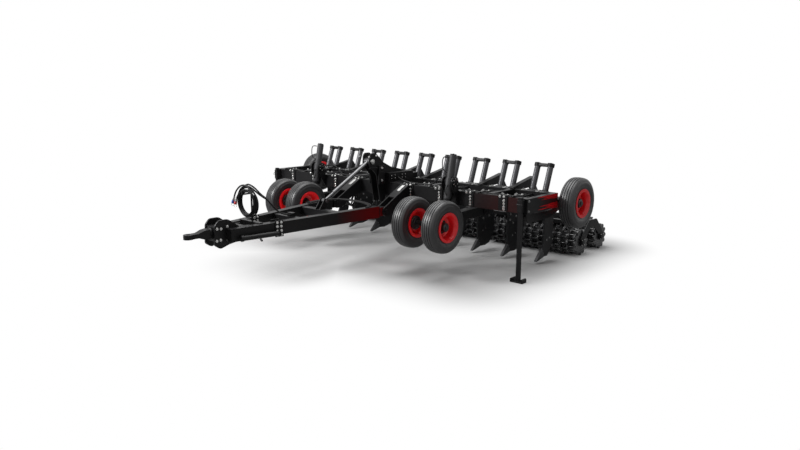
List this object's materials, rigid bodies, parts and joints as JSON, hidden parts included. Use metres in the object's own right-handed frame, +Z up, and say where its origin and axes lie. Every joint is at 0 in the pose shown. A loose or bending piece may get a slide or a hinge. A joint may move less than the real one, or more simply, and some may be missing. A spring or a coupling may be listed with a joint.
{
  "type": "towed subsoiler",
  "caption": "Towed subsoiler: rigid frame with a row of sprung legs, toothed packer rollers behind, lift wheels, parking stands and an A-shaped drawbar with a swivel eye.",
  "frame": {"origin": "on the ground under the middle of the whole machine's box", "axes": "+X to the machine's left, +Y to its rear, +Z up; the drawbar eye points along -Y"},
  "size_m": [5.9748, 6.3982, 1.703],
  "materials": {
    "frame_paint": "satin black paint",
    "tyre": "ribbed implement tyre",
    "rim_paint": "bright red paint",
    "spring_paint": "dark grey paint",
    "point_steel": "worn black paint",
    "bright_steel": "bright drawn steel",
    "hose_rubber": "black hydraulic hose",
    "coupler_plastic": "blue and red caps"
  },
  "bodies": {
    "frame": {"front_beam": "frame_paint", "rear_beam": "frame_paint", "side_rails": "frame_paint", "frame_members": "frame_paint", "mast": "frame_paint", "spine": "frame_paint", "drawbar_brackets": "frame_paint", "leg_brackets": "frame_paint", "legs": "frame_paint", "leg_points": "point_steel", "springs": "spring_paint", "spring_yokes": "frame_paint", "pull_rods": "frame_paint", "arm_brackets": "frame_paint", "roller_arm_brackets": "frame_paint", "stand_sleeves": "frame_paint"},
    "drawbar": {"drawbar_beam_left": "frame_paint", "drawbar_beam_right": "frame_paint", "drawbar_cross": "frame_paint", "drawbar_head": "frame_paint", "hose_stand": "frame_paint", "hose_coil": "hose_rubber", "couplers": "coupler_plastic", "hose_left": "hose_rubber", "hose_right": "hose_rubber"},
    "swivel": {"swivel_eye": "frame_paint"},
    "link_sleeve": {"link_sleeve": "frame_paint"},
    "link_rod": {"link_rod": "bright_steel"},
    "jack_tube": {"jack_tube": "frame_paint"},
    "jack_leg": {"jack_leg": "bright_steel"},
    "front_arm_left": {"front_arm_left": "frame_paint"},
    "lift_barrel_left": {"lift_barrel_left": "frame_paint"},
    "lift_rod_left": {"lift_rod_left": "bright_steel"},
    "front_wheels_left": {"front_tyres_left": "tyre", "front_rims_left": "rim_paint"},
    "rear_arm_left": {"rear_arm_left": "frame_paint"},
    "rear_wheel_left": {"rear_tyre_left": "tyre", "rear_rim_left": "rim_paint"},
    "stand_leg_left": {"stand_leg_left": "frame_paint"},
    "front_arm_right": {"front_arm_right": "frame_paint"},
    "lift_barrel_right": {"lift_barrel_right": "frame_paint"},
    "lift_rod_right": {"lift_rod_right": "bright_steel"},
    "front_wheels_right": {"front_tyres_right": "tyre", "front_rims_right": "rim_paint"},
    "rear_arm_right": {"rear_arm_right": "frame_paint"},
    "rear_wheel_right": {"rear_tyre_right": "tyre", "rear_rim_right": "rim_paint"},
    "stand_leg_right": {"stand_leg_right": "frame_paint"},
    "roller_section_left": {"roller_carrier_left": "frame_paint", "section_ends_left": "frame_paint"},
    "front_roller_left": {"front_roller_left": "frame_paint"},
    "rear_roller_left": {"rear_roller_left": "frame_paint"},
    "roller_section_middle": {"roller_carrier_middle": "frame_paint", "section_ends_middle": "frame_paint"},
    "front_roller_middle": {"front_roller_middle": "frame_paint"},
    "rear_roller_middle": {"rear_roller_middle": "frame_paint"},
    "roller_section_right": {"roller_carrier_right": "frame_paint", "section_ends_right": "frame_paint"},
    "front_roller_right": {"front_roller_right": "frame_paint"},
    "rear_roller_right": {"rear_roller_right": "frame_paint"}
  },
  "joints": [
    {"name": "drawbar_pitch", "type": "hinge", "parent": "frame", "child": "drawbar", "pos_m": [0, -0.17512, 0.818], "axis": [1, 0, 0], "range_deg": [-8, 8]},
    {"name": "eye_swivel", "type": "hinge", "parent": "drawbar", "child": "swivel", "pos_m": [0, -2.82512, 0.8], "axis": [0, 1, 0], "range_deg": [-20, 20]},
    {"name": "link_swing", "type": "hinge", "parent": "frame", "child": "link_sleeve", "pos_m": [0, 0.07288, 1.514], "axis": [1, 0, 0], "range_deg": [-5, 5]},
    {"name": "link_stroke", "type": "slide", "parent": "link_sleeve", "child": "link_rod", "axis": [0, -0.8742, -0.4855], "range_m": [-0.08, 0.08]},
    {"name": "front_arm_left", "type": "hinge", "parent": "frame", "child": "front_arm_left", "pos_m": [1.47, 1.12488, 0.78], "axis": [1, 0, 0], "range_deg": [0, 28]},
    {"name": "lift_swing_left", "type": "hinge", "parent": "frame", "child": "lift_barrel_left", "pos_m": [1.47, 0.28188, 1.299], "axis": [1, 0, 0], "range_deg": [0, 12]},
    {"name": "lift_stroke_left", "type": "slide", "parent": "lift_barrel_left", "child": "lift_rod_left", "axis": [0, -0.2022, -0.9794], "range_m": [0, 0.45]},
    {"name": "front_wheels_spin_left", "type": "hinge", "parent": "front_arm_left", "child": "front_wheels_left", "pos_m": [1.48, -0.22712, 0.736], "axis": [1, 0, 0], "continuous": true},
    {"name": "rear_arm_left", "type": "hinge", "parent": "frame", "child": "rear_arm_left", "pos_m": [2.605, 0.60488, 0.85], "axis": [-1, 0, 0], "range_deg": [0, 60]},
    {"name": "rear_wheel_spin_left", "type": "hinge", "parent": "rear_arm_left", "child": "rear_wheel_left", "pos_m": [2.872, 1.51388, 0.993], "axis": [1, 0, 0], "continuous": true},
    {"name": "stand_slide_left", "type": "slide", "parent": "frame", "child": "stand_leg_left", "axis": [0, 0, 1], "range_m": [0, 0.6]},
    {"name": "front_arm_right", "type": "hinge", "parent": "frame", "child": "front_arm_right", "pos_m": [-1.47, 1.12488, 0.78], "axis": [1, 0, 0], "range_deg": [0, 28]},
    {"name": "lift_swing_right", "type": "hinge", "parent": "frame", "child": "lift_barrel_right", "pos_m": [-1.47, 0.28188, 1.299], "axis": [1, 0, 0], "range_deg": [0, 12]},
    {"name": "lift_stroke_right", "type": "slide", "parent": "lift_barrel_right", "child": "lift_rod_right", "axis": [0, -0.2022, -0.9794], "range_m": [0, 0.45]},
    {"name": "front_wheels_spin_right", "type": "hinge", "parent": "front_arm_right", "child": "front_wheels_right", "pos_m": [-1.48, -0.22712, 0.736], "axis": [1, 0, 0], "continuous": true},
    {"name": "rear_arm_right", "type": "hinge", "parent": "frame", "child": "rear_arm_right", "pos_m": [-2.605, 0.60488, 0.85], "axis": [-1, 0, 0], "range_deg": [0, 60]},
    {"name": "rear_wheel_spin_right", "type": "hinge", "parent": "rear_arm_right", "child": "rear_wheel_right", "pos_m": [-2.872, 1.51388, 0.993], "axis": [1, 0, 0], "continuous": true},
    {"name": "stand_slide_right", "type": "slide", "parent": "frame", "child": "stand_leg_right", "axis": [0, 0, 1], "range_m": [0, 0.6]},
    {"name": "roller_section_left", "type": "hinge", "parent": "frame", "child": "roller_section_left", "pos_m": [1.74, 1.30488, 1.08], "axis": [-1, 0, 0], "range_deg": [0, 10]},
    {"name": "front_roller_spin_left", "type": "hinge", "parent": "roller_section_left", "child": "front_roller_left", "pos_m": [1.74, 2.33488, 0.21425], "axis": [1, 0, 0], "continuous": true},
    {"name": "rear_roller_spin_left", "type": "hinge", "parent": "roller_section_left", "child": "rear_roller_left", "pos_m": [1.74, 2.98488, 0.21425], "axis": [1, 0, 0], "continuous": true},
    {"name": "roller_section_middle", "type": "hinge", "parent": "frame", "child": "roller_section_middle", "pos_m": [0, 1.30488, 1.08], "axis": [-1, 0, 0], "range_deg": [0, 10]},
    {"name": "front_roller_spin_middle", "type": "hinge", "parent": "roller_section_middle", "child": "front_roller_middle", "pos_m": [0, 2.33488, 0.21425], "axis": [1, 0, 0], "continuous": true},
    {"name": "rear_roller_spin_middle", "type": "hinge", "parent": "roller_section_middle", "child": "rear_roller_middle", "pos_m": [0, 2.98488, 0.21425], "axis": [1, 0, 0], "continuous": true},
    {"name": "roller_section_right", "type": "hinge", "parent": "frame", "child": "roller_section_right", "pos_m": [-1.74, 1.30488, 1.08], "axis": [-1, 0, 0], "range_deg": [0, 10]},
    {"name": "front_roller_spin_right", "type": "hinge", "parent": "roller_section_right", "child": "front_roller_right", "pos_m": [-1.74, 2.33488, 0.21425], "axis": [1, 0, 0], "continuous": true},
    {"name": "rear_roller_spin_right", "type": "hinge", "parent": "roller_section_right", "child": "rear_roller_right", "pos_m": [-1.74, 2.98488, 0.21425], "axis": [1, 0, 0], "continuous": true},
    {"name": "jack_swing", "type": "hinge", "parent": "drawbar", "child": "jack_tube", "pos_m": [0.31894, -2.44512, 0.73], "axis": [-0.9888, 0.1491, 0], "range_deg": [0, 90]},
    {"name": "jack_stroke", "type": "slide", "parent": "jack_tube", "child": "jack_leg", "axis": [0.1491, 0.9888, 0], "range_m": [0, 0.3]}
  ],
  "couplings": [
    {"joint": "link_swing", "follows": "drawbar_pitch", "ratio": 0.4841},
    {"joint": "link_stroke", "follows": "drawbar_pitch", "m_per_rad": 0.4877},
    {"joint": "lift_swing_left", "follows": "front_arm_left", "ratio": 0.4064},
    {"joint": "lift_stroke_left", "follows": "front_arm_left", "m_per_rad": 0.9001},
    {"joint": "lift_swing_right", "follows": "front_arm_right", "ratio": 0.4064},
    {"joint": "lift_stroke_right", "follows": "front_arm_right", "m_per_rad": 0.9001}
  ]
}
